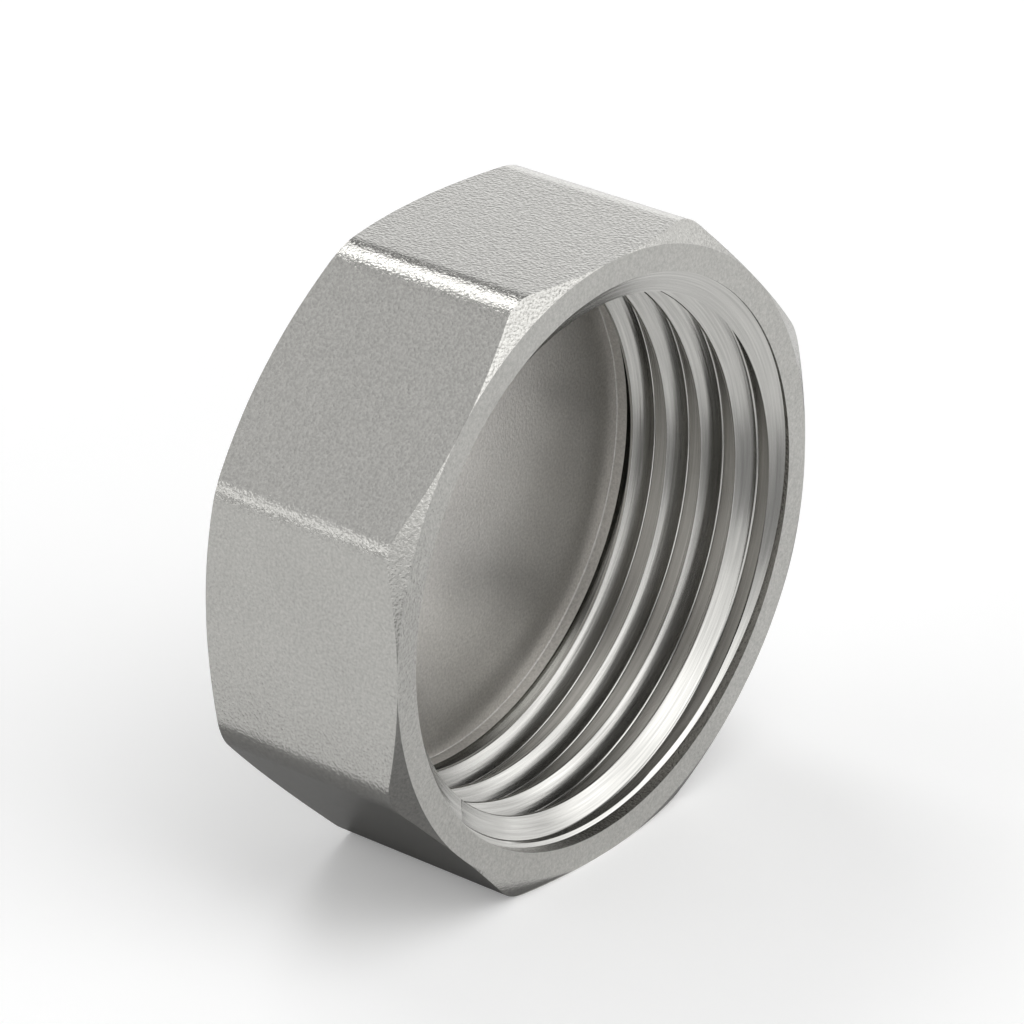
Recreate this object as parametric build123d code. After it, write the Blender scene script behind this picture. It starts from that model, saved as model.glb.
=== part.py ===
from build123d import *
import math
import os

# Octagonal blind cap with an internal left-hand thread, in millimetres.
# The cap lies on one of its eight flats, as it comes to rest on a bench.
# X runs along the thread axis and the open mouth faces +X.
# The origin is under the middle of the cap, on the surface that it lies on.
# Depths are measured from the mouth face, along the thread axis.

# Outer body
ACROSS_FLATS = 30.0
BODY_LENGTH = 11.1
CORNER_RADIUS = 2.4
END_FACE_MARGIN = 0.01
CHAMFER_ANGLE = 30.0

# Thread, cut as one helical groove into a plain bore, with this much wall left between its root and a flat
WALL_AT_FLATS = 1.5
THREAD_HEIGHT = 1.0
PITCH = 2.034
FLANK_ANGLE = 30.0
CREST_FLAT = 0.6
FIRST_CREST_DEPTH = 0.28

# Mouth: a cast rim and a turned countersink that is a little off its centre
MOUTH_CLEARANCE = 0.23
RIM_DEPTH = 0.43
COUNTERSINK_HALF_ANGLE = 60.0
COUNTERSINK_OFFSET = 0.554
OFFSET_DIRECTION = -130.0

# Closed end: the floor and a short recess between it and the thread
FLOOR_THICKNESS = 1.5
RECESS_LENGTH = 0.6
UNDERCUT = 0.4
FLOOR_BEVEL = 0.4

FLATS = 8
AXIS_HEIGHT = ACROSS_FLATS / 2
MOUTH_X = BODY_LENGTH / 2
END_FACE_RADIUS = ACROSS_FLATS / 2 + END_FACE_MARGIN
ROOT_RADIUS = ACROSS_FLATS / 2 - WALL_AT_FLATS
CREST_RADIUS = ROOT_RADIUS - THREAD_HEIGHT
MOUTH_RADIUS = ROOT_RADIUS + MOUTH_CLEARANCE
FLOOR_DEPTH = BODY_LENGTH - FLOOR_THICKNESS
THREAD_END = FLOOR_DEPTH - RECESS_LENGTH


def corner_to_corner():
    """Distance across two opposite sharp corners of the octagon."""
    return ACROSS_FLATS / math.cos(math.pi / FLATS)


def cross_plane(depth):
    """Plane square to the thread axis at a depth behind the mouth face, facing into the cap."""
    return Plane(origin=(MOUTH_X - depth, 0, AXIS_HEIGHT), x_dir=(0, 1, 0), z_dir=(-1, 0, 0))


def revolved(profile):
    """Solid turned about the thread axis from (depth, radius) points."""
    # drawn below the axis, so that the seam of each turned face lies where the helix starts
    points = [(MOUTH_X - depth, 0, AXIS_HEIGHT - radius) for depth, radius in profile]
    outline = Polyline(*points, close=True)
    return revolve(make_face(outline), Axis((0, 0, AXIS_HEIGHT), (1, 0, 0)), 360)


def round_bar(start, end, radius):
    """Plain round bar on the thread axis between two depths."""
    return revolved([(start, 0), (start, radius), (end, radius), (end, 0)])


def octagon_bar():
    """Bar with eight flats and rounded corners, as long as the cap."""
    half_flat = 180 / FLATS
    with BuildPart() as bar:
        with BuildSketch(cross_plane(0)):
            RegularPolygon(corner_to_corner() / 2, FLATS, rotation=half_flat)
        extrude(amount=BODY_LENGTH)
        corners = bar.edges().filter_by(Axis.X)
        fillet(corners, CORNER_RADIUS)
    return bar.part


def turned_blank():
    """Round blank with both ends turned to a cone, which bevels the octagon's corners."""
    outer_radius = corner_to_corner() / 2
    bevel_length = (outer_radius - END_FACE_RADIUS) * math.tan(math.radians(CHAMFER_ANGLE))
    profile = [
        (0, 0),
        (0, END_FACE_RADIUS),
        (bevel_length, outer_radius),
        (BODY_LENGTH - bevel_length, outer_radius),
        (BODY_LENGTH, END_FACE_RADIUS),
        (BODY_LENGTH, 0),
    ]
    return revolved(profile)


def mouth():
    """Hollow of the mouth: where the round rim and the off-centre countersink are both open."""
    slope = math.tan(math.radians(COUNTERSINK_HALF_ANGLE))
    wide_radius = MOUTH_RADIUS + RIM_DEPTH * slope
    tip_depth = wide_radius / slope
    direction = math.radians(OFFSET_DIRECTION)
    offset = Pos(0, COUNTERSINK_OFFSET * math.cos(direction), COUNTERSINK_OFFSET * math.sin(direction))
    countersink = offset * revolved([(0, 0), (0, wide_radius), (tip_depth, 0)])
    return countersink & round_bar(0, THREAD_END, MOUTH_RADIUS)


def bore():
    """Plain bore at the thread's crests."""
    return round_bar(0, THREAD_END, CREST_RADIUS)


def thread_groove():
    """Helical groove with sloped sides and a flat root, which leaves the thread standing in the bore."""
    slope = math.tan(math.radians(FLANK_ANGLE))
    # the section reaches a little inside the crests, so that no face of it lies on the bore
    overlap = CREST_FLAT / 4
    crest_half = (PITCH - CREST_FLAT) / 2 + overlap * slope
    root_half = crest_half - (overlap + THREAD_HEIGHT) * slope
    # the helix starts below the axis and outside the mouth, midway between two crests
    start = FIRST_CREST_DEPTH - PITCH * 3 / 4
    turns = (THREAD_END - start) / PITCH + 1 / 2
    helix = Helix(
        PITCH,
        PITCH * turns,
        CREST_RADIUS,
        center=(MOUTH_X - start, 0, AXIS_HEIGHT),
        direction=(-1, 0, 0),
        lefthand=True,
    )
    with BuildSketch(Plane(origin=helix @ 0, x_dir=(0, 0, -1), z_dir=helix % 0)) as section:
        with BuildLine():
            Polyline(
                (-overlap, -crest_half),
                (THREAD_HEIGHT, -root_half),
                (THREAD_HEIGHT, root_half),
                (-overlap, crest_half),
                close=True,
            )
        make_face()
    groove = sweep(section.sketch, path=helix, is_frenet=True)
    return groove & round_bar(0, THREAD_END, MOUTH_RADIUS)


def closed_end():
    """Hollow behind the thread, a little wider than the crests, with a bevelled corner at the floor."""
    radius = CREST_RADIUS + UNDERCUT
    profile = [
        (THREAD_END, 0),
        (THREAD_END, radius),
        (FLOOR_DEPTH - FLOOR_BEVEL, radius),
        (FLOOR_DEPTH, radius - FLOOR_BEVEL),
        (FLOOR_DEPTH, 0),
    ]
    return revolved(profile)


def cap():
    """The whole cap, one casting with a cut thread."""
    body = octagon_bar() & turned_blank()
    return body - mouth() - bore() - closed_end() - thread_groove()


os.makedirs("parts", exist_ok=True)
export_step(cap(), "parts/cap.step")
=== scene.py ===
import math

import bmesh
import bpy
import numpy as np
from mathutils import Matrix, Vector


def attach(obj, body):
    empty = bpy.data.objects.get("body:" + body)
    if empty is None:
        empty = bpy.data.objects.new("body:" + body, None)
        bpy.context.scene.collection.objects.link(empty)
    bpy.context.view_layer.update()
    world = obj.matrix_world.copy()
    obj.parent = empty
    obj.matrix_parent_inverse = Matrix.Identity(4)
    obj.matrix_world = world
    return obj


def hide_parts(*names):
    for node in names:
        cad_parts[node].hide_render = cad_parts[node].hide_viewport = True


# Octagonal blind cap with an internal left-hand thread. X runs along the thread axis and the open
# mouth faces +X. The cap's sizes are in millimetres, and MM turns them into metres. Depth is
# measured from the mouth face. Angles run round the axis from +Y towards +Z.
MM = 0.001

# Outer body
ACROSS_FLATS = 30.0
BODY_LENGTH = 11.1
CORNER_RADIUS = 2.4
END_FACE_RADIUS = 15.01
CHAMFER_SLOPE = math.tan(math.radians(30.0))
FLATS = 8
AXIS_HEIGHT = ACROSS_FLATS / 2
MOUTH_X = BODY_LENGTH / 2

# Mouth: a round cast rim, and a turned countersink that is a little off its centre, so that the rim
# is deeper on one side. The slope is the loss of radius per depth
MOUTH_RADIUS = 13.73
RIM_DEPTH = 0.43
RIM_RUNOUT = 0.32
RUNOUT_ANGLE = -130.0
CONE_SLOPE = 1.732

# Thread. HAND is 1 for a right-hand thread, and the phase is the depth of a crest at angle 0
CREST_RADIUS = 12.5
ROOT_RADIUS = 13.5
PITCH = 2.034
HAND = -1
FLANK_ANGLE = 30.0
CREST_FLAT = 0.15
CREST_ROUND = 0.06
ROOT_ROUND = 0.15
THREAD_PHASE = 0.26
THREAD_END = 9.0

# Closed end
RECESS_RADIUS = 12.9
FLOOR_DEPTH = 9.6
FLOOR_ROUND = 0.08

# The mesh has one section of the cap per column. Its rows lie at these radii and depths, with the
# cone's rows measured from the rim's lower edge
COLUMNS = 672
BACK_RADII = [1.0, 3.0, 6.0, 9.0, 12.0, 14.0]
SIDE_ROWS = 8
CONE_ROWS = [0.1, 0.2, 0.3, 0.4, 0.5, 0.6, 0.7]
FLOOR_RADII = [12.0, 11.0, 10.0, 9.0, 8.0, 7.0, 6.0, 5.0, 4.0, 3.0, 2.0, 1.0]
THREAD_ROUND_STEPS = 5
FLOOR_ROUND_STEPS = 6

# A bevel has rows of its own from this length on, and the cone where it is this much the wider
LEAST_BEVEL = 0.002
LEAST_CONE = 0.01

# Share of a straight run that a rounding may take, if the run's other end is rounded or not
SHARED_RUN = 0.49
OWN_RUN = 0.95

# Edges that turn by more than this are shaded as sharp
SHARP_EDGE = math.radians(14.0)

# Places of the finishes in the piece's list of materials
CAST_FINISH = 0
TURNED_FINISH = 1
FLOOR_FINISH = 2


def outer_radius(angle):
    """Radius of the rounded octagon at an angle in radians."""
    half = math.pi / FLATS
    # the angle from the middle of the nearest flat
    local = (angle + half) % (2 * half) - half
    apothem = ACROSS_FLATS / 2
    centre = (apothem - CORNER_RADIUS) / math.cos(half)
    tangent = math.atan2((apothem - CORNER_RADIUS) * math.tan(half), apothem)
    if abs(local) <= tangent:
        return apothem / math.cos(local)
    away = half - abs(local)
    return centre * math.cos(away) + math.sqrt(CORNER_RADIUS ** 2 - (centre * math.sin(away)) ** 2)


def rounded_path(corners, rounds, steps):
    """Points along a path of straight runs whose corners are rounded to the given radii."""
    points = []
    for i, corner in enumerate(corners):
        here = np.array(corner)
        if rounds[i] <= 0 or i in (0, len(corners) - 1):
            points.append(tuple(here))
            continue
        back = np.array(corners[i - 1]) - here
        ahead = np.array(corners[i + 1]) - here
        back_length = np.linalg.norm(back)
        ahead_length = np.linalg.norm(ahead)
        back = back / back_length
        ahead = ahead / ahead_length
        turn = math.pi - math.acos(float(np.clip(back @ ahead, -1, 1)))
        back_most = (SHARED_RUN if rounds[i - 1] > 0 else OWN_RUN) * back_length
        ahead_most = (SHARED_RUN if rounds[i + 1] > 0 else OWN_RUN) * ahead_length
        reach = min(rounds[i] * math.tan(turn / 2), back_most, ahead_most)
        radius = reach / math.tan(turn / 2)
        bisector = (back + ahead) / np.linalg.norm(back + ahead)
        centre = here + bisector * radius / math.cos(turn / 2)
        start = here + back * reach - centre
        stop = here + ahead * reach - centre
        for k in range(steps + 1):
            share = k / steps
            of_start = math.sin((1 - share) * turn) / math.sin(turn)
            of_stop = math.sin(share * turn) / math.sin(turn)
            points.append(tuple(centre + start * of_start + stop * of_stop))
    return points


def thread_profile():
    """One pitch of the thread's section: (depth, radius) points from mid crest to mid crest."""
    slope = 1.0 / math.tan(math.radians(FLANK_ANGLE))
    flank_start = CREST_FLAT / 2
    flank_end = flank_start + (ROOT_RADIUS - CREST_RADIUS) / slope
    corners = [
        (0.0, CREST_RADIUS),
        (flank_start, CREST_RADIUS),
        (flank_end, ROOT_RADIUS),
        (PITCH - flank_end, ROOT_RADIUS),
        (PITCH - flank_start, CREST_RADIUS),
        (PITCH, CREST_RADIUS),
    ]
    rounds = [0, CREST_ROUND, ROOT_ROUND, ROOT_ROUND, CREST_ROUND, 0]
    return rounded_path(corners, rounds, THREAD_ROUND_STEPS)


def closed_end():
    """The section behind the thread: (depth, radius) points along the recess and over the floor."""
    corners = [
        (THREAD_END, RECESS_RADIUS),
        (FLOOR_DEPTH, RECESS_RADIUS),
        (FLOOR_DEPTH, 0.0),
    ]
    path = rounded_path(corners, [0, FLOOR_ROUND, 0], FLOOR_ROUND_STEPS)
    return path[:-1] + [(FLOOR_DEPTH, radius) for radius in FLOOR_RADII]


def rim_depth(angle):
    """Depth of the cast rim at an angle."""
    return RIM_DEPTH + RIM_RUNOUT * math.cos(angle - math.radians(RUNOUT_ANGLE))


def cone_radius(depth, angle):
    """Radius of the rim and the countersink at a depth and an angle."""
    return MOUTH_RADIUS - max(0.0, depth - rim_depth(angle)) * CONE_SLOPE


def hollow_column(angle, profile, end):
    """The hollow's section at an angle, from the mouth's edge to near the floor's middle.

    Its points are (depth, radius, label), and a label names the same row in every column.
    """
    shift = THREAD_PHASE - HAND * PITCH * angle / (2 * math.pi)
    first = math.floor((-PITCH - shift) / PITCH)
    last = math.ceil((THREAD_END + PITCH - shift) / PITCH)
    thread = []
    for turn in range(first, last + 1):
        for row, (depth, radius) in enumerate(profile[:-1]):
            thread.append((turn * PITCH + shift + depth, radius, ("thread", turn, row)))
    # the surface is whichever of thread and cone is the wider
    points = []
    for (d0, r0, label), (d1, r1, _) in zip(thread[:-1], thread[1:]):
        s0 = r0 - cone_radius(d0, angle)
        s1 = r1 - cone_radius(d1, angle)
        if s0 > 0 and 0 <= d0 < THREAD_END:
            points.append((d0, r0, label))
        if s0 * s1 < 0:
            share = s0 / (s0 - s1)
            depth = d0 + share * (d1 - d0)
            if 0 < depth < THREAD_END:
                crossing = ("crossing", label[1], s1 > 0)
                points.append((depth, cone_radius(depth, angle), crossing))
        if d0 < THREAD_END <= d1:
            share = (THREAD_END - d0) / (d1 - d0)
            points.append((THREAD_END, r0 + share * (r1 - r0), ("thread end", 0)))
    rim = rim_depth(angle)
    depths = [point[0] for point in thread]
    radii = [point[1] for point in thread]
    for k, below_rim in enumerate(CONE_ROWS):
        depth = rim + below_rim
        radius = cone_radius(depth, angle)
        if np.interp(depth, depths, radii) < radius - LEAST_CONE:
            points.append((depth, radius, ("cone", k)))
    points.sort(key=lambda point: point[0])
    column = [(depth, MOUTH_RADIUS, ("rim", k)) for k, depth in enumerate([0.0, rim / 2, rim])]
    return column + points + [(d, r, ("floor", k)) for k, (d, r) in enumerate(end)]


def outer_column(angle):
    """The outside's section at an angle, from near the back's middle to near the mouth's edge."""
    radius = outer_radius(angle)
    face = min(END_FACE_RADIUS, radius)
    bevel = max(0.0, radius - END_FACE_RADIUS) * CHAMFER_SLOPE
    bevelled = bevel > LEAST_BEVEL
    column = [(BODY_LENGTH, r, ("outside", "back", k)) for k, r in enumerate(BACK_RADII)]
    column.append((BODY_LENGTH, face, ("outside", "back edge")))
    if bevelled:
        column.append((BODY_LENGTH - bevel, radius, ("outside", "back bevel")))
    for k in range(1, SIDE_ROWS):
        depth = BODY_LENGTH - bevel + k / SIDE_ROWS * (2 * bevel - BODY_LENGTH)
        column.append((depth, radius, ("outside", "side", k)))
    if bevelled:
        column.append((bevel, radius, ("outside", "front bevel")))
    column.append((0.0, face, ("outside", "front edge")))
    column.append((0.0, (face + MOUTH_RADIUS) / 2, ("outside", "front")))
    return column


def place(angle, depth, radius):
    """Point of the frame, in metres, for an angle, depth and radius of the cap."""
    y = radius * math.cos(angle)
    z = radius * math.sin(angle)
    return Vector((MOUTH_X - depth, y, AXIS_HEIGHT + z)) * MM


def finish_of(labels):
    """Which finish a face between labelled points has."""
    kinds = {label[0] for label in labels}
    if kinds <= {"outside", "rim"}:
        return CAST_FINISH
    if kinds <= {"floor"}:
        return FLOOR_FINISH
    return TURNED_FINISH


def join_columns(bm, left, right):
    """Faces between two neighbouring columns. A row that only one of them has makes a triangle."""
    (left_points, left_verts), (right_points, right_verts) = left, right
    right_rows = {label: row for row, (_, _, label) in enumerate(right_points)}
    a = b = 0
    while a < len(left_verts) - 1 or b < len(right_verts) - 1:
        next_left = left_points[a + 1][2] if a < len(left_verts) - 1 else None
        next_right = right_points[b + 1][2] if b < len(right_verts) - 1 else None
        labels = {left_points[a][2], right_points[b][2]}
        if next_left is not None and next_left == next_right:
            corners = (left_verts[a], right_verts[b], right_verts[b + 1], left_verts[a + 1])
            labels.add(next_left)
            a += 1
            b += 1
        elif next_right is None or (next_left is not None and right_rows.get(next_left, -1) <= b):
            # the row that comes next on the left isn't ahead on the right
            corners = (left_verts[a], right_verts[b], left_verts[a + 1])
            labels.add(next_left)
            a += 1
        else:
            corners = (left_verts[a], right_verts[b], right_verts[b + 1])
            labels.add(next_right)
            b += 1
        bm.faces.new(corners).material_index = finish_of(labels)


def add_object(name, data):
    """Object in the scene's collection."""
    obj = bpy.data.objects.new(name, data)
    bpy.context.scene.collection.objects.link(obj)
    return obj


def build_cap():
    """The whole cap as one closed mesh."""
    mesh = bpy.data.meshes.new("cap_body")
    bm = bmesh.new()
    back_middle = bm.verts.new(place(0, BODY_LENGTH, 0))
    floor_middle = bm.verts.new(place(0, FLOOR_DEPTH, 0))
    profile = thread_profile()
    end = closed_end()
    columns = []
    for i in range(COLUMNS + 1):
        angle = 2 * math.pi * i / COLUMNS
        points = outer_column(angle % (2 * math.pi)) + hollow_column(angle, profile, end)
        if i < COLUMNS:
            verts = [bm.verts.new(place(angle, depth, radius)) for depth, radius, _ in points]
        else:
            # the last column is the first one again, with its thread labelled one turn further on
            verts = columns[0][1]
            assert len(verts) == len(points)
        columns.append((points, verts))
    for left, right in zip(columns[:-1], columns[1:]):
        bm.faces.new((back_middle, right[1][0], left[1][0]))
        join_columns(bm, left, right)
        bm.faces.new((floor_middle, left[1][-1], right[1][-1])).material_index = FLOOR_FINISH
    bm.normal_update()
    for face in bm.faces:
        face.smooth = True
    for edge in bm.edges:
        if edge.calc_face_angle(0.0) > SHARP_EDGE:
            edge.smooth = False
    bm.to_mesh(mesh)
    bm.free()
    return add_object("cap_body", mesh)


# Finishes. The colour is a slightly warm grey, and lengths in the textures are in metres
STEEL = (0.43, 0.425, 0.405, 1.0)
TURNED_STEEL = (0.50, 0.495, 0.475, 1.0)
# The floor inside the cap is a lighter copy of the steel colour: painted light on the floor of the
# hollow, with its own slightly warmer tint
FLOOR_STEEL_WITH_PAINTED_LIGHT = (0.62, 0.605, 0.58, 1.0)
CAST_ROUGHNESS = 0.24
TURNED_ROUGHNESS = 0.2
FLOOR_ROUGHNESS = 0.42

# Nearly all of a noise lies between these two values
NOISE_LOW = 0.3
NOISE_HIGH = 0.7

# Cast metal. Tones are shares of the colour and glosses are shares of the roughness
GRAIN_SIZE = 0.00014
CAST_GRAIN_HEIGHT = 0.000026
FLOOR_GRAIN_HEIGHT = 0.00002
SPECKS_PER_GRAIN = 2.2
CLOUDS_PER_METRE = 260.0
# Share of the tone that follows the grain's height: painted shade in its pits and painted light on
# its peaks
GRAIN_AND_PIT_SHADE_IN_TONE = 0.6
SPECK_IN_TONE = 0.25
CLOUD_IN_TONE = 0.15
CAST_TONES = (0.8, 1.18)
CAST_GLOSSES = (0.92, 1.1)

# Turned metal. The texture goes this far per radian, which draws its marks out round the axis
TURNING_PER_RADIAN = 0.0002
MARKS_PER_METRE = 9000.0
BANDS_PER_METRE = 2200.0
MARK_HEIGHT = 0.000004
MARK_STRENGTH = 0.35
BAND_HEIGHT = 0.00002
BAND_STRENGTH = 0.6
TURNED_TONES = (0.84, 1.1)
TURNED_GLOSSES = (0.75, 1.3)


def link(tree, source, target):
    """Join two sockets."""
    tree.links.new(source, target)


def add_math(tree, operation, first, second=None):
    """A math node; each input is a number or a socket."""
    node = tree.nodes.new("ShaderNodeMath")
    node.operation = operation
    for slot, value in enumerate([first, second]):
        if value is None:
            continue
        if isinstance(value, (int, float)):
            node.inputs[slot].default_value = value
        else:
            link(tree, value, node.inputs[slot])
    return node.outputs[0]


def add_noise(tree, vector, scale, detail, roughness):
    """A noise of about 0 to 1 over a vector."""
    node = tree.nodes.new("ShaderNodeTexNoise")
    node.inputs["Scale"].default_value = scale
    node.inputs["Detail"].default_value = detail
    node.inputs["Roughness"].default_value = roughness
    link(tree, vector, node.inputs["Vector"])
    return node.outputs["Fac"]


def add_range(tree, value, low, high, to_low, to_high):
    """A value's range turned into another one, and clamped to it."""
    node = tree.nodes.new("ShaderNodeMapRange")
    node.inputs["From Min"].default_value = low
    node.inputs["From Max"].default_value = high
    node.inputs["To Min"].default_value = to_low
    node.inputs["To Max"].default_value = to_high
    link(tree, value, node.inputs["Value"])
    return node.outputs["Result"]


def add_tint(tree, value, dark, light):
    """Colour between two shades of the metal."""
    node = tree.nodes.new("ShaderNodeMix")
    node.data_type = "RGBA"
    node.inputs[6].default_value = dark
    node.inputs[7].default_value = light
    link(tree, value, node.inputs[0])
    return node.outputs[2]


def add_bump(tree, height, strength, distance, before=None):
    """Bump from a height, on top of another bump if one is given."""
    node = tree.nodes.new("ShaderNodeBump")
    node.inputs["Strength"].default_value = strength
    node.inputs["Distance"].default_value = distance
    link(tree, height, node.inputs["Height"])
    if before is not None:
        link(tree, before, node.inputs["Normal"])
    return node.outputs["Normal"]


def shade(colour, share):
    """A colour times a share."""
    return (colour[0] * share, colour[1] * share, colour[2] * share, 1.0)


def new_metal(name):
    """Metal material with its node tree, its shader and the object's coordinates."""
    material = bpy.data.materials.new(name)
    material.use_nodes = True
    tree = material.node_tree
    shader = tree.nodes["Principled BSDF"]
    shader.inputs["Metallic"].default_value = 1.0
    coords = tree.nodes.new("ShaderNodeTexCoord").outputs["Object"]
    return material, tree, shader, coords


def add_look(tree, shader, colour, tones, tone, roughness, glosses, gloss):
    """The shader's colour and roughness, each led by a value from a low share to a high one."""
    tint = add_tint(tree, tone, shade(colour, tones[0]), shade(colour, tones[1]))
    link(tree, tint, shader.inputs["Base Color"])
    low, high = (roughness * share for share in glosses)
    gloss = add_range(tree, gloss, NOISE_LOW, NOISE_HIGH, low, high)
    link(tree, gloss, shader.inputs["Roughness"])


def cast_metal(name, colour, roughness, grain_height):
    """Fine-grained cast surface: pebbled bump, with cloudy changes of tone and gloss, and painted
    shade that darkens the grain's pits and lightens its peaks.
    """
    material, tree, shader, coords = new_metal(name)
    grain = add_noise(tree, coords, 1.0 / GRAIN_SIZE, detail=2.0, roughness=0.45)
    cloud = add_noise(tree, coords, CLOUDS_PER_METRE, detail=3.0, roughness=0.6)
    speck = add_noise(tree, coords, SPECKS_PER_GRAIN / GRAIN_SIZE, detail=1.0, roughness=0.5)
    # The grain's own noise also sets the tone, so its pits are painted darker and its peaks
    # lighter: painted shade, on top of the specks and clouds of tone that differs at random
    grain_and_pit_shade = add_math(tree, "MULTIPLY", grain, GRAIN_AND_PIT_SHADE_IN_TONE)
    speck_part = add_math(tree, "MULTIPLY", speck, SPECK_IN_TONE)
    tone = add_math(tree, "ADD", grain_and_pit_shade, speck_part)
    tone = add_math(tree, "ADD", tone, add_math(tree, "MULTIPLY", cloud, CLOUD_IN_TONE))
    tone = add_range(tree, tone, NOISE_LOW, NOISE_HIGH, 0.0, 1.0)
    add_look(tree, shader, colour, CAST_TONES, tone, roughness, CAST_GLOSSES, cloud)
    link(tree, add_bump(tree, grain, 1.0, grain_height), shader.inputs["Normal"])
    return material


def turned_metal(name, colour, roughness):
    """Bright turned surface: fine marks and wider bands run round the thread axis."""
    material, tree, shader, coords = new_metal(name)
    split = tree.nodes.new("ShaderNodeSeparateXYZ")
    link(tree, coords, split.inputs[0])
    x, y, z = (split.outputs[axis] for axis in "XYZ")
    height = add_math(tree, "SUBTRACT", z, AXIS_HEIGHT * MM)
    angle = add_math(tree, "ARCTAN2", height, y)
    y_squared = add_math(tree, "POWER", y, 2.0)
    height_squared = add_math(tree, "POWER", height, 2.0)
    radius = add_math(tree, "SQRT", add_math(tree, "ADD", y_squared, height_squared))
    turned = tree.nodes.new("ShaderNodeCombineXYZ")
    link(tree, x, turned.inputs["X"])
    link(tree, radius, turned.inputs["Y"])
    link(tree, add_math(tree, "MULTIPLY", angle, TURNING_PER_RADIAN), turned.inputs["Z"])
    vector = turned.outputs[0]
    marks = add_noise(tree, vector, MARKS_PER_METRE, detail=2.0, roughness=0.6)
    bands = add_noise(tree, vector, BANDS_PER_METRE, detail=2.0, roughness=0.5)
    tone = add_range(tree, marks, NOISE_LOW, NOISE_HIGH, 0.0, 1.0)
    add_look(tree, shader, colour, TURNED_TONES, tone, roughness, TURNED_GLOSSES, bands)
    fine = add_bump(tree, marks, MARK_STRENGTH, MARK_HEIGHT)
    link(tree, add_bump(tree, bands, BAND_STRENGTH, BAND_HEIGHT, fine), shader.inputs["Normal"])
    return material


# Camera, fitted to the outline. Angles are in degrees, with the azimuth from -Y towards +X. The
# distance is in millimetres. The focal length and the place of the mouth's middle are in pixels
CAM_AZIMUTH = 38.66
CAM_ELEVATION = 26.20
CAM_ROLL = -0.323
CAM_DISTANCE = 245.5
CAM_FOCAL = 5420.9
MOUTH_PIXEL = (609.79, 564.49)
IMAGE = 1024
SENSOR = 36.0
CLIP_START = 0.01
CLIP_END = 20


def make_camera():
    """The scene's camera."""
    azimuth = math.radians(CAM_AZIMUTH)
    elevation = math.radians(CAM_ELEVATION)
    roll = math.radians(CAM_ROLL)
    level = math.cos(elevation)
    right = Vector((math.cos(azimuth), math.sin(azimuth), 0))
    back = Vector((math.sin(azimuth) * level, -math.cos(azimuth) * level, math.sin(elevation)))
    up = back.cross(right)
    cam_right = right * math.cos(roll) - up * math.sin(roll)
    cam_up = right * math.sin(roll) + up * math.cos(roll)
    to_right = (MOUTH_PIXEL[0] - IMAGE / 2) / CAM_FOCAL * CAM_DISTANCE
    to_top = -(MOUTH_PIXEL[1] - IMAGE / 2) / CAM_FOCAL * CAM_DISTANCE
    mouth = Vector((MOUTH_X, 0, AXIS_HEIGHT))
    position = mouth + back * CAM_DISTANCE - cam_right * to_right - cam_up * to_top
    rotation = Matrix((cam_right, cam_up, back)).transposed()
    data = bpy.data.cameras.new("camera")
    data.sensor_width = SENSOR
    data.lens = CAM_FOCAL / IMAGE * SENSOR
    data.clip_start = CLIP_START
    data.clip_end = CLIP_END
    camera = add_object("camera", data)
    camera.matrix_world = Matrix.Translation(position * MM) @ rotation.to_4x4()
    bpy.context.scene.camera = camera


# Soft studio light, with distances in metres and angles in degrees: two softboxes for the bright
# lines on the corners, and smooth glows of the world
KEY = dict(azimuth=162.0, elevation=54.0, distance=1.2, width=0.5, height=0.3, radiance=4.6)
LEFT = dict(azimuth=235.0, elevation=10.5, distance=1.6, width=1.3, height=0.3, radiance=1.8)
WORLD_LIGHT = 0.1
# Azimuth, elevation, spread and strength of each glow
GLOWS = [
    (0.0, 64.0, 34.0, 2.2),
    (0.0, 8.0, 32.0, 1.3),
    (30.0, 8.0, 32.0, 1.8),
    (60.0, 8.0, 32.0, 0.8),
    (90.0, 8.0, 32.0, 0.9),
    (120.0, 8.0, 32.0, 1.6),
    (310.0, 10.0, 38.0, 1.1),
    (225.0, 36.0, 36.0, 0.8),
    (180.0, 36.0, 36.0, 0.3),
]

# Pale floor, with its half width in metres. It keeps the cap's shadow. A little light of its own,
# which only the camera and the metal see, makes it white
FLOOR_COLOUR = (0.97, 0.97, 0.97, 1)
FLOOR_MATTNESS = 0.9
FLOOR_SHEEN = 0.1
FLOOR_GLOW = 0.16
FLOOR_HALF = 4.0

# Grey card that lies under and beside the cap, in millimetres. It is painted shade: only the metal
# shows it, as a darker floor in its reflections, which darkens the cap's lower flats
SHADE_CARD_COLOUR = (0.38, 0.38, 0.38, 1)
SHADE_CARD_MATTNESS = 1.0
SHADE_CARD_HEIGHT = 0.1
SHADE_CARD_OUTLINE = [
    (-50, -24), (70, -24), (70, 14), (30, 14), (30, -8), (5.5, -8), (5.5, 60), (-50, 60),
]


def towards(azimuth, elevation):
    """Unit vector from the cap; the azimuth is measured from +X towards +Y."""
    az = math.radians(azimuth)
    el = math.radians(elevation)
    return Vector((math.cos(az) * math.cos(el), math.sin(az) * math.cos(el), math.sin(el)))


def add_softbox(name, azimuth, elevation, distance, width, height, radiance):
    """Area lamp that faces the cap."""
    direction = towards(azimuth, elevation)
    data = bpy.data.lights.new(name, "AREA")
    data.shape = "RECTANGLE"
    data.size = width
    data.size_y = height
    data.energy = radiance * math.pi * width * height
    lamp = add_object(name, data)
    lamp.location = direction * distance + Vector((0, 0, AXIS_HEIGHT * MM))
    lamp.rotation_euler = direction.to_track_quat("Z", "Y").to_euler()
    lamp.visible_camera = False


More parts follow.
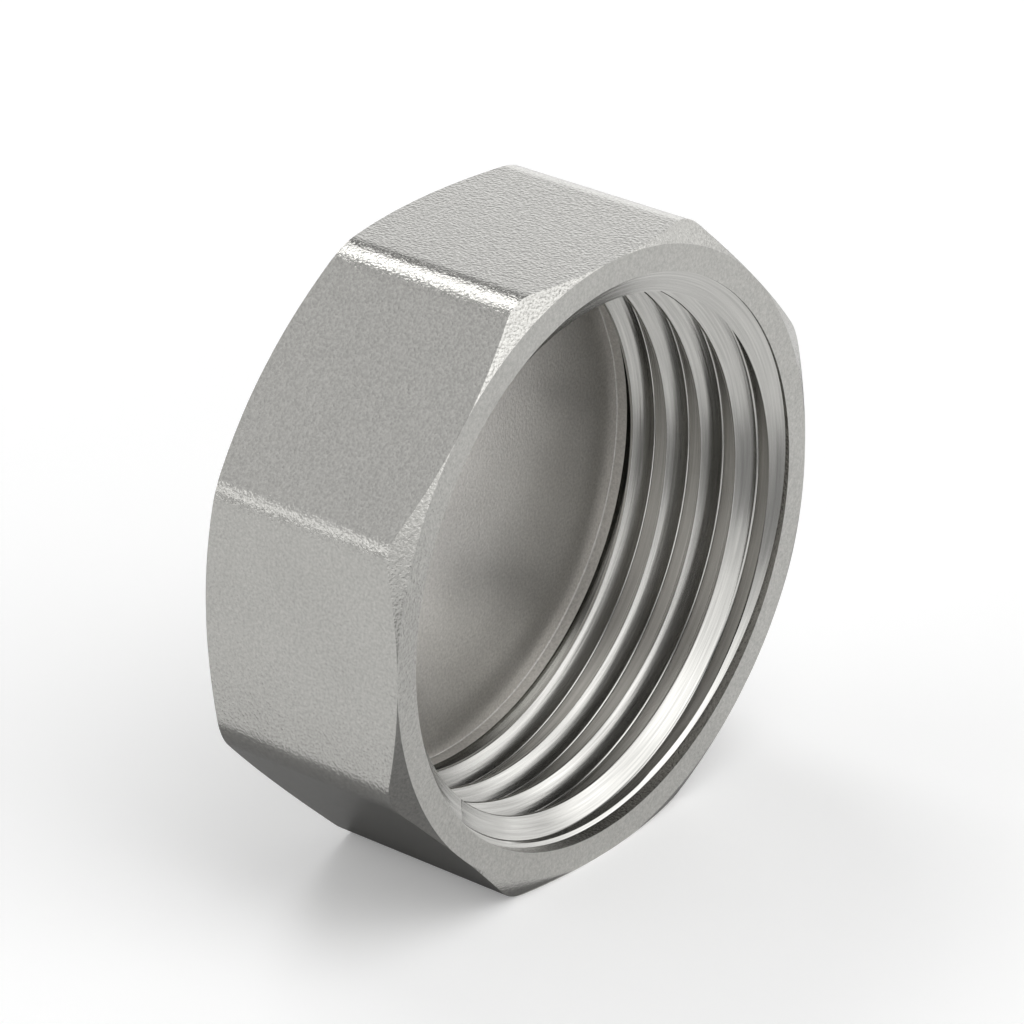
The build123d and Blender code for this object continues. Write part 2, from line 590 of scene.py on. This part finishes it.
def add_glow(tree, direction, azimuth, elevation, spread, strength):
    """Light of the world round one direction, which fades out smoothly up to the spread."""
    dot = tree.nodes.new("ShaderNodeVectorMath")
    dot.operation = "DOT_PRODUCT"
    link(tree, direction, dot.inputs[0])
    dot.inputs[1].default_value = towards(azimuth, elevation)
    edge = math.cos(math.radians(spread))
    glow = add_range(tree, dot.outputs["Value"], edge, 1.0, 0.0, strength)
    glow.node.interpolation_type = "SMOOTHSTEP"
    return glow


def make_world():
    """The world's light: an even part and the sum of the glows."""
    world = bpy.data.worlds.new("studio")
    world.use_nodes = True
    tree = world.node_tree
    direction = tree.nodes.new("ShaderNodeTexCoord").outputs["Generated"]
    light = add_glow(tree, direction, *GLOWS[0])
    for glow in GLOWS[1:]:
        light = add_math(tree, "ADD", light, add_glow(tree, direction, *glow))
    background = tree.nodes["Background"]
    link(tree, add_math(tree, "ADD", light, WORLD_LIGHT), background.inputs["Strength"])
    background.inputs["Color"].default_value = (1, 1, 1, 1)
    bpy.context.scene.world = world


def add_sheet(name, outline, height, colour, roughness):
    """Flat sheet at a height, all in metres, with a matt material; returns it and its shader."""
    mesh = bpy.data.meshes.new(name)
    mesh.from_pydata([(x, y, height) for x, y in outline], [], [tuple(range(len(outline)))])
    sheet = add_object(name, mesh)
    material = bpy.data.materials.new(name)
    material.use_nodes = True
    shader = material.node_tree.nodes["Principled BSDF"]
    shader.inputs["Base Color"].default_value = colour
    shader.inputs["Roughness"].default_value = roughness
    mesh.materials.append(material)
    return sheet, shader


def make_floor():
    """The pale floor."""
    outline = [(x * FLOOR_HALF, y * FLOOR_HALF) for x, y in [(-1, -1), (1, -1), (1, 1), (-1, 1)]]
    floor, shader = add_sheet("floor", outline, 0, FLOOR_COLOUR, FLOOR_MATTNESS)
    shader.inputs["Specular IOR Level"].default_value = FLOOR_SHEEN
    shader.inputs["Emission Color"].default_value = (1, 1, 1, 1)
    tree = shader.id_data
    ray = tree.nodes.new("ShaderNodeLightPath").outputs
    seen = add_math(tree, "MAXIMUM", ray["Is Camera Ray"], ray["Is Glossy Ray"])
    seen = add_math(tree, "MAXIMUM", seen, ray["Is Transmission Ray"])
    glow = add_math(tree, "MULTIPLY", seen, FLOOR_GLOW)
    link(tree, glow, shader.inputs["Emission Strength"])


def make_shade_card():
    """The grey card of painted shade, which only the metal's reflections show."""
    outline = [(x * MM, y * MM) for x, y in SHADE_CARD_OUTLINE]
    shade_card, _ = add_sheet("shade_card", outline, SHADE_CARD_HEIGHT * MM, SHADE_CARD_COLOUR, SHADE_CARD_MATTNESS)
    # Hidden from the camera, from diffuse light and from shadows: painted shade that only the
    # metal's reflections show
    shade_card.visible_camera = False
    shade_card.visible_diffuse = False
    shade_card.visible_shadow = False


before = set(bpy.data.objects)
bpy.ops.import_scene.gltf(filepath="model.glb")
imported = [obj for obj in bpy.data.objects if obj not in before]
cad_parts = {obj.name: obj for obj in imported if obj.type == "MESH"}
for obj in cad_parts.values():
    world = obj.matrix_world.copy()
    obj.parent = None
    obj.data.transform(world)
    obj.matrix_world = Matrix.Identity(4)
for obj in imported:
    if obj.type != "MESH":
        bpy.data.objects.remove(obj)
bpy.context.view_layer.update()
bpy.context.scene.view_settings.view_transform = "Standard"

body = build_cap()
body.data.materials.append(cast_metal("cast_steel", STEEL, CAST_ROUGHNESS, CAST_GRAIN_HEIGHT))
body.data.materials.append(turned_metal("turned_steel", TURNED_STEEL, TURNED_ROUGHNESS))
body.data.materials.append(
    cast_metal("cast_floor", FLOOR_STEEL_WITH_PAINTED_LIGHT, FLOOR_ROUGHNESS, FLOOR_GRAIN_HEIGHT))
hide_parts("cap")
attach(body, "root")

make_camera()
add_softbox("key", **KEY)
add_softbox("left", **LEFT)
make_world()
make_floor()
make_shade_card()
